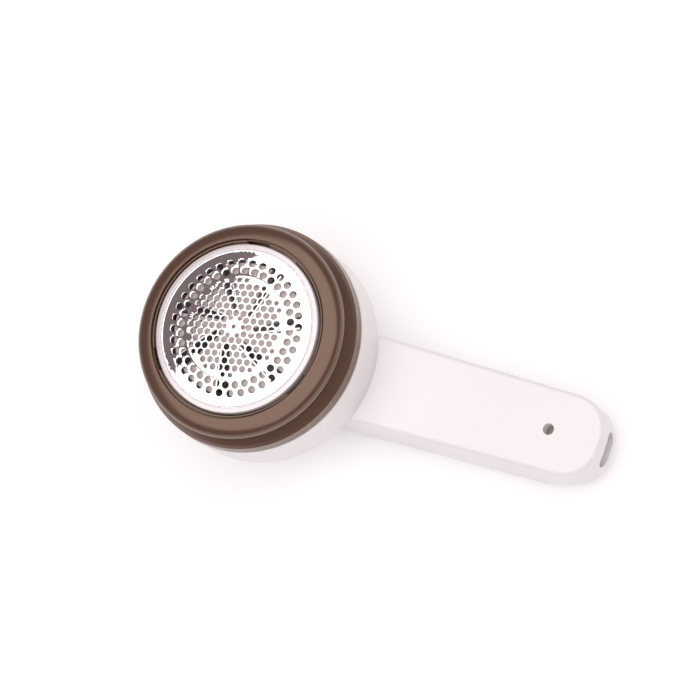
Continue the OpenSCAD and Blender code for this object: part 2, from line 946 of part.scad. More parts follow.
module motor_lead_red() {
    color([0.75, 0.10, 0.08])
        motor_lead(1);
}

module motor_lead_black() {
    color(black)
        motor_lead(-1);
}

module battery_lead_red() {
    start_x = cell_x + cell_l - 0.1;
    end_x = charge_board_x + 1.2;
    top_z = charge_board_z + board_t;
    color([0.75, 0.10, 0.08])
        wire([
            [start_x, 2, cell_z], [start_x + 0.6, 2, cell_z], [start_x + 1.6, 5, cell_z],
            [end_x - 1, 5.4, cell_z - 0.6],
            [end_x + 0.6, 5.4, top_z + 1.6], [end_x + 0.6, 5.5, top_z]
        ]);
}

module battery_lead_black() {
    y = cell_d / 2 + wire_r + 0.5;
    end_x = charge_board_x + 1.2;
    top_z = charge_board_z + board_t;
    color(black)
        wire([
            [cell_x + 0.1, -1.5, cell_z], [cell_x - 0.9, -1.5, cell_z], [cell_x - 1.8, -y + 1, cell_z],
            [cell_x + 2, -y, cell_z], [cell_x + cell_l - 4, -y, cell_z], [end_x - 1, -y + 1, cell_z],
            [end_x + 0.6, -y + 2.2, top_z + 1.8], [end_x + 0.6, -y + 2.2, top_z]
        ]);
}

// Sleeved pair from the charge board to the switch board
module board_link() {
    y = cell_d / 2 + wire_r + 0.5;
    start_x = charge_board_x + 3.4;
    end_x = switch_board_x + switch_board_l - 1;
    top_z = charge_board_z + board_t;
    low_z = switch_board_z + board_t;
    color([0.88, 0.86, 0.80])
        wire([
            [start_x, 6.6, top_z], [start_x, 6.7, top_z + 1.6], [start_x - 4, y, top_z + 2.4],
            [end_x + 3, y, top_z + 1], [end_x + 0.6, y - 0.4, low_z + 2.5], [end_x, 6.4, low_z + 1.2],
            [end_x, 6.3, low_z]
        ]);
}

front_shell();
back_shell();
shell_screws();
lint_bin();
bin_seal();
foil_bezel();
cutter_foil();
foil_clamp_ring();
cutter_wheel();
wheel_hub();
cutter_blades();
drive_shaft();
motor_can();
motor_magnets();
motor_armature();
motor_commutator();
motor_end_cap();
motor_brushes();
motor_bushes();
motor_damper();
motor_screws();
shaft_seal();
interlock_pin();
interlock_switch();
battery_cell();
battery_tabs();
battery_pad();
charge_board();
charge_port();
port_tongue();
charge_chip();
charge_light();
light_pipe();
switch_board();
power_switch();
switch_plunger();
power_button();
motor_lead_red();
motor_lead_black();
battery_lead_red();
battery_lead_black();
board_link();
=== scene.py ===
import json
import math

import bmesh
import bpy
from mathutils import Euler, Matrix, Vector
from mathutils.geometry import delaunay_2d_cdt

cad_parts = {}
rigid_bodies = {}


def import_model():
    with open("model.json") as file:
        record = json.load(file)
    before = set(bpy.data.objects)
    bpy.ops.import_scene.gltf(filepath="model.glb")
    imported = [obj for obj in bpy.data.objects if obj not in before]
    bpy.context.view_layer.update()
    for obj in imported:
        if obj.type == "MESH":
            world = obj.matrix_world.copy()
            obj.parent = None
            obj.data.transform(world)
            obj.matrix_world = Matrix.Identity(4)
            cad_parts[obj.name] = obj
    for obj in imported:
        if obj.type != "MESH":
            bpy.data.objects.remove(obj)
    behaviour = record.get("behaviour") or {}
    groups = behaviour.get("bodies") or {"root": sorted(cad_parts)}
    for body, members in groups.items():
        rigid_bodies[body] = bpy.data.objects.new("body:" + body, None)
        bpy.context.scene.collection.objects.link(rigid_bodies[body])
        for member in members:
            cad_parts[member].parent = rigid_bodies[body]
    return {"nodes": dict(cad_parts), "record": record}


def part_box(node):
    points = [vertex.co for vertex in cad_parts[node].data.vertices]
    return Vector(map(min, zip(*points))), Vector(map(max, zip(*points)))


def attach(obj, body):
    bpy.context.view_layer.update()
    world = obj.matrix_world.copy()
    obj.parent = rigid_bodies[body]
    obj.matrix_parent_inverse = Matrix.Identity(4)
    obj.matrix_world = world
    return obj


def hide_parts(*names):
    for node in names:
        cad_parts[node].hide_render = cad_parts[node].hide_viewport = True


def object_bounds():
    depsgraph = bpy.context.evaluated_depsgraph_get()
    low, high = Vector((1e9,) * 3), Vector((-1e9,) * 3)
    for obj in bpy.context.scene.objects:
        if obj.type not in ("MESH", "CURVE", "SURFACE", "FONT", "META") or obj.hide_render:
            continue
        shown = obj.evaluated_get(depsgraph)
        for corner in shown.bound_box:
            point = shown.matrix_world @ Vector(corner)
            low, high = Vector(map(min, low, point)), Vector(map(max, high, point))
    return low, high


# Looks of the rechargeable fabric shaver. Metres; +Z out of the foil, +X along the handle to the tail.

for leftover in list(bpy.data.objects):
    bpy.data.objects.remove(leftover)

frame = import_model()
bpy.context.view_layer.update()
CAD_LOW, CAD_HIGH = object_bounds()

MM = 0.001


# ---------------------------------------------------------------- sizes, in metres
# Places and outer radii come from the frame's boxes. Walls and fits repeat those of the CAD source.

BEZEL_LOW, BEZEL_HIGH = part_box("foil_bezel")
BIN_LOW, BIN_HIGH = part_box("lint_bin")
FOIL_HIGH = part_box("cutter_foil")[1]
HEAD_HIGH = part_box("front_shell")[1]

# Bright ring: its face stands a little above RING_Z, and its skirt goes down into the bin's neck
RING_RISE = 0.6 * MM
RING_Z = BEZEL_HIGH.z - RING_RISE
BEZEL_R = BEZEL_HIGH.x
BEZEL_W = 1.7 * MM
SKIRT_FOOT_Z = BEZEL_LOW.z
SKIRT_T = 0.9 * MM

# Foil: part of a sphere. The pressed step and the curl at the ring each lie between two radii.
FOIL_R = FOIL_HIGH.x
FOIL_RIM_Z = RING_Z - 0.2 * MM
FOIL_CROWN = FOIL_HIGH.z - FOIL_RIM_Z
FOIL_T = 0.2 * MM
DOME_R = (FOIL_R ** 2 + FOIL_CROWN ** 2) / (2 * FOIL_CROWN)
DOME_Z = FOIL_RIM_Z + FOIL_CROWN - DOME_R
FOIL_STEP = (15.35 * MM, 15.7 * MM)
FOIL_CURL = (FOIL_R - 1.2 * MM, FOIL_R - 0.85 * MM)

# Lint bin, from the drum's rim up to the lip
RIM_Z = HEAD_HIGH.z
FLANGE_R = BIN_HIGH.x
WAIST_R = FLANGE_R - 3.2 * MM
LIP_R = FLANGE_R - 1.9 * MM
LIP_Z = BIN_HIGH.z
LIP_RIM_Z = RING_Z - 2.9 * MM
LIP_EDGE_R = 1.2 * MM
BIN_WALL = 1.8 * MM
SPIGOT_R = FLANGE_R - 2.1 * MM
NECK_BORE_R = BEZEL_R + 0.2 * MM

# Bayonet of the bright ring, in degrees round the head
LUG_COUNT = 3
LUG_WIDTH = 14
ENTRY_ANGLE = -25
TWIST = 20
LUG_H = 1 * MM
LUG_REACH = 0.9 * MM

# Edges sharper than these, in degrees, stay sharp
PIECE_EDGE = 30
SHELL_EDGE = 28
FOIL_EDGE = 50

# How far the larger faces lead the smooth shading, from 0 to 100
LARGE_FACE_WEIGHT = 80

# Steps of a round, sides of a turned piece, and steps along a sector of a ring
ROUND_STEPS = 5
TURNED_SIDES = 256
SECTOR_STEPS = 24

# A round takes less than this share of the side on which it lies
NEARLY_HALF = 0.49

# A corner whose half angle is over this, in degrees, needs no round
NEARLY_STRAIGHT = 89


# ---------------------------------------------------------------- mesh helpers

def rounded(corners, steps=ROUND_STEPS):
    """A closed outline of (r, z, fillet radius) corners, with each corner turned into a round."""
    outline = []
    count = len(corners)
    for i, (r, z, fillet) in enumerate(corners):
        here = Vector((r, z))
        before = Vector(corners[i - 1][:2]) - here
        after = Vector(corners[(i + 1) % count][:2]) - here
        half_angle = before.angle(after) / 2
        is_straight = half_angle > math.radians(NEARLY_STRAIGHT)
        if fillet <= 0 or is_straight:
            outline.append(here)
            continue
        reach = fillet / math.tan(half_angle)
        reach = min(reach, NEARLY_HALF * before.length, NEARLY_HALF * after.length)
        start = here + before.normalized() * reach
        end = here + after.normalized() * reach
        for k in range(steps + 1):
            t = k / steps
            outline.append(start * (1 - t) ** 2 + here * 2 * t * (1 - t) + end * t ** 2)
    return outline


def lathe(name, outline, steps=TURNED_SIDES):
    """A closed solid of revolution about the head's axis."""
    bm = bmesh.new()
    rings = []
    for k in range(steps):
        angle = 2 * math.pi * k / steps
        across, along = math.cos(angle), math.sin(angle)
        rings.append([bm.verts.new((p.x * across, p.x * along, p.y)) for p in outline])
    count = len(outline)
    for k in range(steps):
        here, there = rings[k], rings[(k + 1) % steps]
        for i in range(count):
            j = (i + 1) % count
            bm.faces.new((here[i], there[i], there[j], here[j]))
    return finished(name, bm)


def sector(name, inner_r, outer_r, low_z, high_z, middle, width, steps=SECTOR_STEPS):
    """A sector of a cylinder wall, centred on an angle in degrees."""
    bm = bmesh.new()
    rows = []
    for k in range(steps + 1):
        angle = math.radians(middle - width / 2 + width * k / steps)
        section = [(inner_r, low_z), (outer_r, low_z), (outer_r, high_z), (inner_r, high_z)]
        rows.append([bm.verts.new((r * math.cos(angle), r * math.sin(angle), z)) for r, z in section])
    for here, there in zip(rows, rows[1:]):
        for i in range(len(here)):
            j = (i + 1) % len(here)
            bm.faces.new((here[i], there[i], there[j], here[j]))
    bm.faces.new(rows[0])
    bm.faces.new(rows[-1])
    return finished(name, bm)


def finished(name, bm):
    """Turns a bmesh into an object with its normals outward."""
    bmesh.ops.recalc_face_normals(bm, faces=bm.faces)
    mesh = bpy.data.meshes.new(name)
    bm.to_mesh(mesh)
    bm.free()
    piece = bpy.data.objects.new(name, mesh)
    bpy.context.scene.collection.objects.link(piece)
    return piece


def baked(piece):
    """Applies the modifiers of a piece to its mesh."""
    graph = bpy.context.evaluated_depsgraph_get()
    mesh = bpy.data.meshes.new_from_object(piece.evaluated_get(graph))
    piece.modifiers.clear()
    piece.data = mesh
    return piece


def combined(piece, tools, operation):
    """Joins tools to a piece, or cuts them from it, and removes them."""
    for tool in tools:
        step = piece.modifiers.new("combine", "BOOLEAN")
        step.operation = operation
        step.solver = "EXACT"
        step.object = tool
        baked(piece)
        bpy.data.objects.remove(tool)
    return piece


def smoothed(piece, angle=PIECE_EDGE):
    """Smooth shading, with edges sharper than an angle in degrees kept."""
    mesh = piece.data
    bm = bmesh.new()
    bm.from_mesh(mesh)
    for face in bm.faces:
        face.smooth = True
    for edge in bm.edges:
        edge.smooth = edge.is_manifold and edge.calc_face_angle() < math.radians(angle)
    bm.to_mesh(mesh)
    bm.free()
    step = piece.modifiers.new("weighted_normal", "WEIGHTED_NORMAL")
    step.keep_sharp = True
    step.weight = LARGE_FACE_WEIGHT
    return piece


def dome_z(r):
    """Height of the foil's outer face at a distance from the head's axis."""
    return DOME_Z + math.sqrt(DOME_R ** 2 - r ** 2)


# ---------------------------------------------------------------- node helpers

# Where noise mostly lies between 0 and 1, and where noise of little detail does
NOISE_SPAN = (0.3, 0.7)
BROAD_SPAN = (0.2, 0.8)


class Graph:
    """A material's nodes, with the few joins that these materials need."""

    def __init__(self, name):
        self.material = bpy.data.materials.new(name)
        self.material.use_nodes = True
        self.nodes = self.material.node_tree.nodes
        self.links = self.material.node_tree.links
        self.shader = self.nodes["Principled BSDF"]
        self.place = self.nodes.new("ShaderNodeTexCoord").outputs["Object"]

    def stretched(self, scale):
        """The object's coordinates, stretched by a factor along each axis."""
        step = self.nodes.new("ShaderNodeMapping")
        step.inputs["Scale"].default_value = scale
        self.links.new(self.place, step.inputs["Vector"])
        return step.outputs["Vector"]

    def noise(self, scale, detail=3, place=None, roughness=0.5):
        """Noise with a scale in features per metre."""
        step = self.nodes.new("ShaderNodeTexNoise")
        step.inputs["Scale"].default_value = scale
        step.inputs["Detail"].default_value = detail
        step.inputs["Roughness"].default_value = roughness
        self.links.new(place or self.place, step.inputs["Vector"])
        return step.outputs["Fac"]

    def ranged(self, value, low, high, span=NOISE_SPAN):
        """Brings the span in which a value mostly lies to low and high."""
        step = self.nodes.new("ShaderNodeMapRange")
        step.inputs["From Min"].default_value = span[0]
        step.inputs["From Max"].default_value = span[1]
        step.inputs["To Min"].default_value = low
        step.inputs["To Max"].default_value = high
        self.links.new(value, step.inputs["Value"])
        return step.outputs["Result"]

    def broad(self, scale, low, high):
        """A slow change from low to high over the surface."""
        return self.ranged(self.noise(scale, 1), low, high, BROAD_SPAN)

    def mixed(self, factor, first, second):
        """A colour between two colours."""
        step = self.nodes.new("ShaderNodeMix")
        step.data_type = "RGBA"
        step.inputs["A"].default_value = (*first, 1)
        step.inputs["B"].default_value = (*second, 1)
        self.links.new(factor, step.inputs["Factor"])
        return step.outputs["Result"]

    def bumped(self, height, strength, distance):
        """Relief from a height."""
        step = self.nodes.new("ShaderNodeBump")
        step.inputs["Strength"].default_value = strength
        step.inputs["Distance"].default_value = distance
        self.links.new(height, step.inputs["Height"])
        self.links.new(step.outputs["Normal"], self.shader.inputs["Normal"])

    def drive(self, socket, value):
        """Joins a value to a socket of the shader."""
        self.links.new(value, self.shader.inputs[socket])

    def fixed(self, **values):
        """Sets sockets of the shader, named with _ for a space."""
        for socket, value in values.items():
            self.shader.inputs[socket.replace("_", " ")].default_value = value


def shade(colour, factor):
    """A colour made darker by a factor."""
    return tuple(channel * factor for channel in colour)


def moulded(name, colour, roughness, grain=900, grain_strength=0.06, mottle=0.985):
    """Moulded plastic or rubber: fine grain, faint mottling, uneven gloss."""
    g = Graph(name)
    g.drive("Base Color", g.mixed(g.broad(30, 0, 1), colour, shade(colour, mottle)))
    g.drive("Roughness", g.broad(60, roughness * 0.93, roughness * 1.07))
    g.bumped(g.noise(grain, 2), grain_strength, 0.02 * MM)
    return g.material


def brushed(name, colour, roughness, stretch=(30, 30, 2600), strength=0.12, mottle=0.92):
    """Metal with fine drawn or turned lines."""
    g = Graph(name)
    lines = g.noise(1, 4, g.stretched(stretch), 0.7)
    g.drive("Base Color", g.mixed(g.ranged(g.noise(300, 3), 0, 1), colour, shade(colour, mottle)))
    g.drive("Roughness", g.ranged(lines, roughness * 0.8, roughness * 1.25))
    g.bumped(lines, strength, 0.01 * MM)
    g.fixed(Metallic=1.0)
    return g.material


# ---------------------------------------------------------------- materials

def white_plastic():
    return moulded("white_plastic", (0.85, 0.818, 0.822), roughness=0.30)


def petal_plastic():
    return moulded("petal_plastic", (0.66, 0.58, 0.57), roughness=0.38)


def black_plastic():
    return moulded("black_plastic", (0.020, 0.020, 0.022), roughness=0.42)


def orange_plastic():
    return moulded("orange_plastic", (0.62, 0.09, 0.02), roughness=0.36)


def rubber():
    return moulded("rubber", (0.030, 0.029, 0.029), roughness=0.72, grain=1500, grain_strength=0.3)


def smoked_plastic():
    """Dark brown plastic that lets a little light through, with uneven gloss."""
    g = Graph("smoked_plastic")
    g.drive("Base Color", g.mixed(g.broad(30, 0, 1), (0.105, 0.058, 0.041), (0.096, 0.052, 0.037)))
    g.drive("Roughness", g.broad(60, 0.22, 0.26))
    g.bumped(g.noise(50, 1), 0.04, 0.02 * MM)
    g.fixed(Transmission_Weight=0.12, IOR=1.9, Specular_Tint=(1.0, 0.73, 0.57, 1))
    return g.material


def bright_ring():
    """Bright satin plating over plastic, slightly uneven."""
    g = Graph("bright_ring")
    patches = g.ranged(g.noise(120, 2), 0, 1)
    g.drive("Base Color", g.mixed(patches, (0.78, 0.715, 0.725), (0.74, 0.68, 0.69)))
    g.drive("Roughness", g.broad(70, 0.24, 0.28))
    g.bumped(g.noise(900, 2), 0.03, 0.01 * MM)
    g.fixed(Metallic=0.35, Coat_Weight=0.3, Coat_Roughness=0.08)
    return g.material


def foil_steel():
    """Thin polished steel sheet with a faint rolled grain."""
    g = Graph("foil_steel")
    grain = g.noise(1, 4, g.stretched((220, 5200, 220)), 0.6)
    patches = g.ranged(g.noise(260, 3), 0, 1)
    g.drive("Base Color", g.mixed(patches, (0.93, 0.905, 0.90), (0.89, 0.865, 0.86)))
    g.drive("Roughness", g.ranged(grain, 0.035, 0.06))
    g.bumped(grain, 0.012, 0.004 * MM)
    g.fixed(Metallic=1.0)
    return g.material


def blade_steel():
    return brushed("blade_steel", (0.72, 0.71, 0.70), roughness=0.22)


def motor_steel():
    return brushed("motor_steel", (0.62, 0.62, 0.61), roughness=0.34, stretch=(2200, 2200, 40))


def zinc_steel():
    return brushed("zinc_steel", (0.68, 0.69, 0.70), roughness=0.30, stretch=(900, 900, 900))


def nickel():
    return brushed("nickel", (0.70, 0.67, 0.62), roughness=0.24, stretch=(60, 2600, 60))


def brass():
    return brushed("brass", (0.72, 0.50, 0.22), roughness=0.36, stretch=(1200, 1200, 60))


def magnet():
    colour = (0.055, 0.052, 0.052)
    return moulded("magnet", colour, roughness=0.58, grain=1800, grain_strength=0.3, mottle=0.8)


def copper():
    """Enamelled winding, with fine turns of wire across the motor's axis."""
    g = Graph("copper")
    step = g.nodes.new("ShaderNodeTexWave")
    step.bands_direction = "Z"
    step.inputs["Scale"].default_value = 1100
    step.inputs["Distortion"].default_value = 0.6
    g.links.new(g.place, step.inputs["Vector"])
    g.drive("Base Color", g.mixed(step.outputs["Fac"], (0.22, 0.07, 0.025), (0.62, 0.27, 0.12)))
    g.drive("Roughness", g.ranged(g.noise(500, 3), 0.28, 0.42))
    g.bumped(step.outputs["Fac"], 0.5, 0.08 * MM)
    g.fixed(Metallic=0.9)
    return g.material


def felt():
    """Pressed felt: soft fibres and a little fuzz."""
    g = Graph("felt")
    fibres = g.noise(3200, 5, g.stretched((1, 1, 2.5)), 0.75)
    g.drive("Base Color", g.mixed(g.ranged(fibres, 0, 1), (0.30, 0.28, 0.26), (0.42, 0.40, 0.37)))
    g.drive("Roughness", g.ranged(fibres, 0.85, 0.98))
    g.bumped(fibres, 0.7, 0.12 * MM)
    g.fixed(Sheen_Weight=0.4, Sheen_Roughness=0.5)
    return g.material


def cell_sleeve():
    return moulded("cell_sleeve", (0.035, 0.16, 0.34), roughness=0.24, grain=600, grain_strength=0.15)


def circuit_board():
    """Green solder mask, with the copper tracks under it showing as lighter lines."""
    g = Graph("circuit_board")
    step = g.nodes.new("ShaderNodeTexBrick")
    step.inputs["Scale"].default_value = 260
    step.inputs["Mortar Size"].default_value = 0.06
    step.inputs["Color1"].default_value = (0.012, 0.085, 0.032, 1)
    step.inputs["Color2"].default_value = (0.014, 0.10, 0.038, 1)
    step.inputs["Mortar"].default_value = (0.05, 0.24, 0.09, 1)
    g.links.new(g.place, step.inputs["Vector"])
    g.drive("Base Color", step.outputs["Color"])
    g.drive("Roughness", g.ranged(g.noise(400, 3), 0.25, 0.38))
    g.bumped(step.outputs["Fac"], 0.3, 0.03 * MM)
    return g.material


def light_lens():
    """Frosted light guide."""
    g = Graph("light_lens")
    patches = g.ranged(g.noise(700, 3), 0, 1)
    g.drive("Base Color", g.mixed(patches, (0.55, 0.475, 0.40), (0.48, 0.415, 0.35)))
    g.drive("Roughness", g.ranged(g.noise(900, 4), 0.28, 0.42))
    g.bumped(g.noise(2400, 2), 0.15, 0.02 * MM)
    g.fixed(Transmission_Weight=0.25, IOR=1.45)
    return g.material


def red_wire():
    return moulded("red_wire", (0.50, 0.012, 0.010), roughness=0.34)


def black_wire():
    return moulded("black_wire", (0.018, 0.018, 0.020), roughness=0.36)


def white_wire():
    return moulded("white_wire", (0.72, 0.69, 0.62), roughness=0.36)


def pale_floor():
    """Matt white studio board with a faint glow, which keeps the shadows on it pale."""
    g = Graph("pale_floor")
    patches = g.ranged(g.noise(3, 2), 0, 1)
    g.drive("Base Color", g.mixed(patches, (0.97, 0.965, 0.965), (0.955, 0.95, 0.95)))
    g.drive("Roughness", g.ranged(g.noise(40, 3), 0.75, 0.9))
    g.bumped(g.noise(900, 3), 0.05, 0.05 * MM)
    g.fixed(Specular_IOR_Level=0.1, Emission_Color=(1, 1, 1, 1), Emission_Strength=0.1)
    return g.material


MAKERS = [
    white_plastic, smoked_plastic, bright_ring, foil_steel, petal_plastic, blade_steel, motor_steel,
    zinc_steel, magnet, copper, brass, nickel, black_plastic, orange_plastic, rubber, felt,
    cell_sleeve, circuit_board, light_lens, red_wire, black_wire, white_wire,
]
MATERIALS = {maker.__name__: maker() for maker in MAKERS}


def finish_nodes():
    """Gives each CAD node the detailed material of its slot."""
    slots = {part["node"]: part["material_slot"] for part in frame["record"]["subparts"]}
    for name, node in frame["nodes"].items():
        for material_slot in node.material_slots:
            material_slot.material = MATERIALS[slots[name]]


def finish_piece(piece, body, slot, *nodes):
    """Gives a new piece its material, body and the CAD nodes that it stands for."""
    piece.data.materials.clear()
    piece.data.materials.append(MATERIALS[slot])
    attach(piece, body)
    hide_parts(*nodes)
    return piece


# ---------------------------------------------------------------- lint bin

def bayonet_cuts():
    """For each lug, the groove in which it turns and the entry that leads down into the groove."""
    groove_z = SKIRT_FOOT_Z - 0.15 * MM
    groove_h = LUG_H + 0.3 * MM
    groove_r = BEZEL_R + LUG_REACH + 0.1 * MM
    inside_r = NECK_BORE_R - 1 * MM
    above_lip_z = LIP_Z + 1 * MM
    slack = 2
    groove_width = LUG_WIDTH + TWIST + 2 * slack
    entry_width = LUG_WIDTH + slack
    cuts = []
    for i in range(LUG_COUNT):
        entry = ENTRY_ANGLE + i * 360 / LUG_COUNT
        cuts.append(sector("groove", inside_r, groove_r, groove_z, groove_z + groove_h,
                           entry - TWIST / 2, groove_width))
        cuts.append(sector("entry", inside_r, groove_r, groove_z + groove_h / 2, above_lip_z,
                           entry, entry_width))
    return cuts


def smoked_bin():
    """The bin's brown body: waisted wall, crowned lip, grooved neck with its bayonet."""
    # Heights, then radii, then (r, z, fillet in mm) round the section
    neck_foot_z = RING_Z - 6 * MM
    under_lip_z = RING_Z - 1.6 * MM
    waist_foot_z = RING_Z - 5 * MM
    inner_waist_foot_z = RING_Z - 6.2 * MM
    shoulder_z = RING_Z - 7.6 * MM
    flange_z = RING_Z - 8.6 * MM
    lip_root_r = NECK_BORE_R + 1.2 * MM
    rib_z = RING_Z - 0.1 * MM
    near_groove_z = RING_Z - 1.2 * MM
    far_groove_z = RING_Z - 0.8 * MM
    rib_inner_r = NECK_BORE_R + 0.4 * MM
    rib_outer_r = lip_root_r - 0.4 * MM
    inner_waist_r = WAIST_R - BIN_WALL
    spigot_bore_r = SPIGOT_R - BIN_WALL
    lip_foot_z = LIP_RIM_Z - LIP_EDGE_R
    lip_w, lip_h = LIP_R - lip_root_r, LIP_Z - LIP_RIM_Z
    crown = [
        (lip_root_r + lip_w * math.sin(t), LIP_RIM_Z + lip_h * math.cos(t), 0)
        for t in (math.radians(angle) for angle in range(10, 91, 5))
    ]
    section = [
        (NECK_BORE_R, neck_foot_z, 0.2), (NECK_BORE_R, near_groove_z, 0.1),
        (rib_inner_r, near_groove_z, 0.06), (rib_inner_r, rib_z, 0.06),
        (rib_outer_r, rib_z, 0.06), (rib_outer_r, far_groove_z, 0.06),
        (lip_root_r - 0.05 * MM, far_groove_z, 0.06), (lip_root_r, LIP_Z, 0.3),
    ] + crown + [
        (LIP_R, lip_foot_z, LIP_EDGE_R / MM), (WAIST_R, lip_foot_z - 0.1 * MM, 0.3),
        (WAIST_R, waist_foot_z, 2.2),
        (FLANGE_R - 0.8 * MM, shoulder_z, 0.9), (FLANGE_R - 0.05 * MM, flange_z, 0.3),
        (FLANGE_R, RIM_Z, 0.3), (SPIGOT_R, RIM_Z, 0.1), (SPIGOT_R, BIN_LOW.z, 0.3),
        (spigot_bore_r, BIN_LOW.z, 0.3), (spigot_bore_r, RIM_Z + 0.8 * MM, 1.0),
        (FLANGE_R - BIN_WALL, RIM_Z + 2.2 * MM, 0.6), (FLANGE_R - BIN_WALL, flange_z + 0.2 * MM, 0.6),
        (inner_waist_r, inner_waist_foot_z, 1.5), (inner_waist_r, under_lip_z, 0.5),
        (NECK_BORE_R + BIN_WALL, under_lip_z, 0.5), (NECK_BORE_R + BIN_WALL, neck_foot_z, 0.2),
    ]
    outline = rounded([(r, z, fillet * MM) for r, z, fillet in section])
    bin_body = lathe("smoked_bin", outline)
    combined(bin_body, bayonet_cuts(), "DIFFERENCE")
    return finish_piece(smoothed(bin_body), "bin", "smoked_plastic", "lint_bin")


# ---------------------------------------------------------------- bright ring and foil

def polished_ring():
    """The bright ring with its skirt and bayonet lugs."""
    inner_r = BEZEL_R - BEZEL_W
    skirt_bore_r = BEZEL_R - SKIRT_T
    shoulder_r = BEZEL_R - 0.2 * MM
    shoulder_z = RING_Z + 0.42 * MM
    side_top_z = RING_Z - 0.2 * MM
    section = [
        (inner_r, RING_Z, 0.05), (inner_r, RING_Z + RING_RISE, 0.35),
        (shoulder_r, shoulder_z, 0.5), (BEZEL_R, side_top_z, 0.3),
        (BEZEL_R, SKIRT_FOOT_Z, 0.15), (skirt_bore_r, SKIRT_FOOT_Z, 0.15), (skirt_bore_r, RING_Z, 0.1),
    ]
    ring = lathe("polished_ring", rounded([(r, z, fillet * MM) for r, z, fillet in section]))
    lugs = [
        sector("lug", BEZEL_R - SKIRT_T / 2, BEZEL_R + LUG_REACH, SKIRT_FOOT_Z + 0.01 * MM,
               SKIRT_FOOT_Z + LUG_H, ENTRY_ANGLE - TWIST + i * 360 / LUG_COUNT, LUG_WIDTH)
        for i in range(LUG_COUNT)
    ]
    combined(ring, lugs, "UNION")
    return finish_piece(smoothed(ring), "foil_ring", "bright_ring", "foil_bezel")


def foil_holes():
    """(x, y, radius) of every hole: a turned hexagonal field, its small edge holes and two rings."""
    turn = math.radians(9.8)
    pitch, field_d, small_d = 2.3 * MM, 1.83 * MM, 1.33 * MM
    centre_d, inner_d, ring_d = 1.2 * MM, 1.26 * MM, 2.1 * MM
    inner_ring_r, inner_row_r, outer_ring_r = 2.9 * MM, 16.8 * MM, 19.2 * MM
    # A norm is the square of a hole's distance from the middle, in pitches
    reach, full_norm, small_norms, ring_count = 7, 31, (36, 37), 36
    holes = [(0, 0, centre_d / 2)]
    for i in range(-reach, reach + 1):
        for j in range(-reach, reach + 1):
            norm = i * i + i * j + j * j
            if norm <= 1 or not (norm <= full_norm or norm in small_norms):
                continue
            spot = Vector((pitch * (i + j / 2), pitch * j * math.sqrt(3) / 2))
            spot.rotate(Matrix.Rotation(turn, 2))
            holes.append((spot.x, spot.y, (field_d if norm <= full_norm else small_d) / 2))
    for i in range(6):
        angle = turn + i * math.pi / 3
        holes.append((inner_ring_r * math.cos(angle), inner_ring_r * math.sin(angle), inner_d / 2))
    for i in range(ring_count):
        for r, phase in ((outer_ring_r, 0.5), (inner_row_r, 0)):
            angle = 2 * math.pi * (i + phase) / ring_count
            holes.append((r * math.cos(angle), r * math.sin(angle), ring_d / 2))
    return holes


def eased(r, start, end):
    """0 before start, 1 after end, and a smooth step between them."""
    share = min(max((r - start) / (end - start), 0), 1)
    return 0.5 - 0.5 * math.cos(math.pi * share)


def foil_rise(r):
    """Height of the foil at a distance from the axis: the dome with its pressed step and its curl."""
    step_h, curl_h = 0.13 * MM, 0.14 * MM
    step = step_h * eased(r, *FOIL_STEP) * (1 - eased(r, FOIL_STEP[1], FOIL_CURL[0]))
    curl = curl_h * eased(r, *FOIL_CURL) * (1 - eased(r, FOIL_CURL[1], FOIL_R))
    return dome_z(r) - step + curl


def flat_sheet(holes, roll):
    """The foil laid flat: its points, and the faces between its holes, which are wider by the roll."""
    hole_sides, ring_sides, shape_steps = 28, 216, 5
    same_point, margin = 1e-7, 0.8 * roll
    even_rings = [r * MM for r in (15.2, 20.7, 21.3, 22)] + [FOIL_R]
    shape_rings = [
        start + (end - start) * k / shape_steps
        for start, end in (FOIL_STEP, FOIL_CURL) for k in range(shape_steps + 1)
    ]
    points, edges = [], []

    def add_circle(x, y, radius, sides):
        first = len(points)
        for k in range(sides):
            angle = 2 * math.pi * k / sides
            points.append(Vector((x + radius * math.cos(angle), y + radius * math.sin(angle))))
            edges.append((first + k, first + (k + 1) % sides))

    for x, y, radius in holes:
        add_circle(x, y, radius + roll, hole_sides)
    for r in even_rings + shape_rings:
        add_circle(0, 0, r, ring_sides)
    found = delaunay_2d_cdt(points, edges, [], 0, same_point)
    flat, faces = found[0], found[2]

    def in_a_hole(face):
        centre = sum((flat[i] for i in face), Vector((0, 0))) / len(face)
        return any((centre.x - x) ** 2 + (centre.y - y) ** 2 < (radius + margin) ** 2
                   for x, y, radius in holes)

    return flat, [face for face in faces if not in_a_hole(face)]


def rim_loops(faces):
    """The closed loops of points along the edges that belong to one face only."""
    sheet_edges = {(i, j) for face in faces for i, j in zip(face, face[1:] + face[:1])}
    following = {i: j for i, j in sorted(sheet_edges) if (j, i) not in sheet_edges}
    loops, used = [], set()
    for start in following:
        if start in used:
            continue
        loop = [start]
        while following[loop[-1]] != start:
            loop.append(following[loop[-1]])
        used.update(loop)
        loops.append(loop)
    return loops


def rolled_rim(bm, flat, loop, roll):
    """The rings of vertices that carry the top face of a hole's rim down to the underside."""
    centre = sum((flat[i] for i in loop), Vector((0, 0))) / len(loop)
    flatness = 0.7
    turns = [math.radians(turn) for turn in (30, 60, 90)]
    levels = [(roll * math.sin(t), flatness * roll * (1 - math.cos(t))) for t in turns]
    levels.append((roll, FOIL_T))
    rings = []
    for inward, drop in levels:
        ring = []
        for i in loop:
            spot = flat[i] - (flat[i] - centre).normalized() * inward
            ring.append(bm.verts.new((spot.x, spot.y, foil_rise(flat[i].length) - drop)))
        rings.append(ring)
    return rings


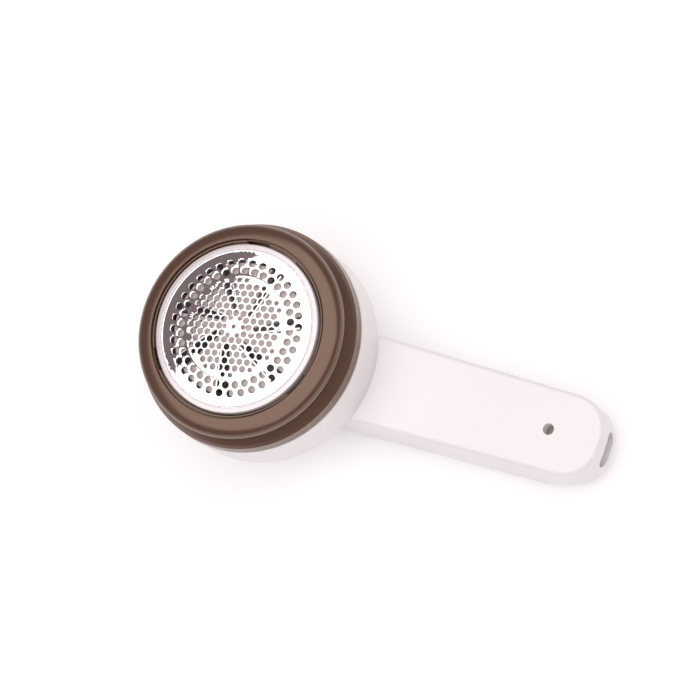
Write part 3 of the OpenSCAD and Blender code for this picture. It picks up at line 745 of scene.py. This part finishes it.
def pressed_foil():
    """Domed perforated sheet with rolled hole rims and the pressed step round the middle field."""
    roll = 0.11 * MM
    flat, faces = flat_sheet(foil_holes(), roll)
    bm = bmesh.new()
    top = [bm.verts.new((p.x, p.y, foil_rise(p.length))) for p in flat]
    under = [bm.verts.new((p.x, p.y, foil_rise(p.length) - FOIL_T)) for p in flat]
    for face in faces:
        bm.faces.new([top[i] for i in face])
        bm.faces.new([under[i] for i in reversed(face)])
    for loop in rim_loops(faces):
        is_hole = flat[loop[0]].length < FOIL_R - 0.1 * MM
        levels = [[top[i] for i in loop]]
        if is_hole:
            levels += rolled_rim(bm, flat, loop, roll)
        levels.append([under[i] for i in loop])
        for above, below in zip(levels, levels[1:]):
            for k in range(len(loop)):
                m = (k + 1) % len(loop)
                bm.faces.new((above[m], above[k], below[k], below[m]))
    for vertex in [v for v in bm.verts if not v.link_faces]:
        bm.verts.remove(vertex)
    foil = finished("pressed_foil", bm)
    return finish_piece(smoothed(foil, FOIL_EDGE), "foil_ring", "foil_steel", "cutter_foil")


# ---------------------------------------------------------------- casing

def softened(node_name, name, body, slot):
    """A copy of a faceted CAD node, shaded as the smooth moulding that it stands for."""
    same_point = 1e-6
    source = frame["nodes"][node_name].data
    bm = bmesh.new()
    corners = [bm.verts.new(vertex.co) for vertex in source.vertices]
    for polygon in source.polygons:
        bm.faces.new([corners[i] for i in polygon.vertices])
    bmesh.ops.remove_doubles(bm, verts=bm.verts, dist=same_point)
    piece = finished(name, bm)
    return finish_piece(smoothed(piece, SHELL_EDGE), body, slot, node_name)


# ---------------------------------------------------------------- studio

def studio_floor():
    """A wide floor at the height of the rest face."""
    half = 4.0
    bm = bmesh.new()
    for x, y in ((-half, -half), (half, -half), (half, half), (-half, half)):
        bm.verts.new((x, y, CAD_LOW.z))
    bm.faces.new(bm.verts)
    floor = finished("studio_floor", bm)
    floor.data.materials.append(pale_floor())


def studio_lights():
    """One big overhead softbox whose near edge the foil mirrors, in an even, faintly rosy room."""
    height, depth, width, watts = 1.3, 2.6, 3.0, 38
    edge_elevation = math.radians(55.4)
    away = math.radians(162)
    room_tint, room_strength = (1.0, 0.78, 0.81, 1), 0.2
    edge = height / math.tan(edge_elevation)
    middle = edge - depth / 2
    place = (middle * math.cos(away), middle * math.sin(away), height)
    light = bpy.data.lights.new("overhead", "AREA")
    light.shape = "RECTANGLE"
    light.size = depth
    light.size_y = width
    light.energy = watts
    lamp = bpy.data.objects.new("overhead", light)
    lamp.location = place
    lamp.rotation_euler = (0, 0, away)
    bpy.context.scene.collection.objects.link(lamp)
    world = bpy.data.worlds.new("room")
    world.use_nodes = True
    room = world.node_tree.nodes["Background"]
    room.inputs["Color"].default_value = room_tint
    room.inputs["Strength"].default_value = room_strength
    bpy.context.scene.world = world
    bpy.context.scene.view_settings.view_transform = "Standard"


def camera():
    """Looks down on the head from the foil's side, with the handle running to the lower right."""
    azimuth, elevation, roll = (math.radians(angle) for angle in (72.07, 65.41, -54.83))
    distance, focal_length, sensor_width = 0.8703, 154.3, 36
    target = Vector((24.1, 6.5, 22.6)) * MM
    level = math.cos(elevation)
    back = Vector((math.sin(azimuth) * level, -math.cos(azimuth) * level, math.sin(elevation)))
    lens = bpy.data.cameras.new("camera")
    lens.lens = focal_length
    lens.sensor_width = sensor_width
    lens.clip_start, lens.clip_end = 0.01, 20
    eye = bpy.data.objects.new("camera", lens)
    eye.location = target + back * distance
    eye.rotation_mode = "QUATERNION"
    rolled = Euler((0, 0, roll)).to_quaternion()
    eye.rotation_quaternion = (-back).to_track_quat("-Z", "Y") @ rolled
    bpy.context.scene.collection.objects.link(eye)
    bpy.context.scene.camera = eye


camera()
finish_nodes()
smoked_bin()
polished_ring()
pressed_foil()
softened("front_shell", "front_casing", "casing", "white_plastic")
softened("back_shell", "back_casing", "casing", "white_plastic")
studio_floor()
studio_lights()

bpy.context.view_layer.update()
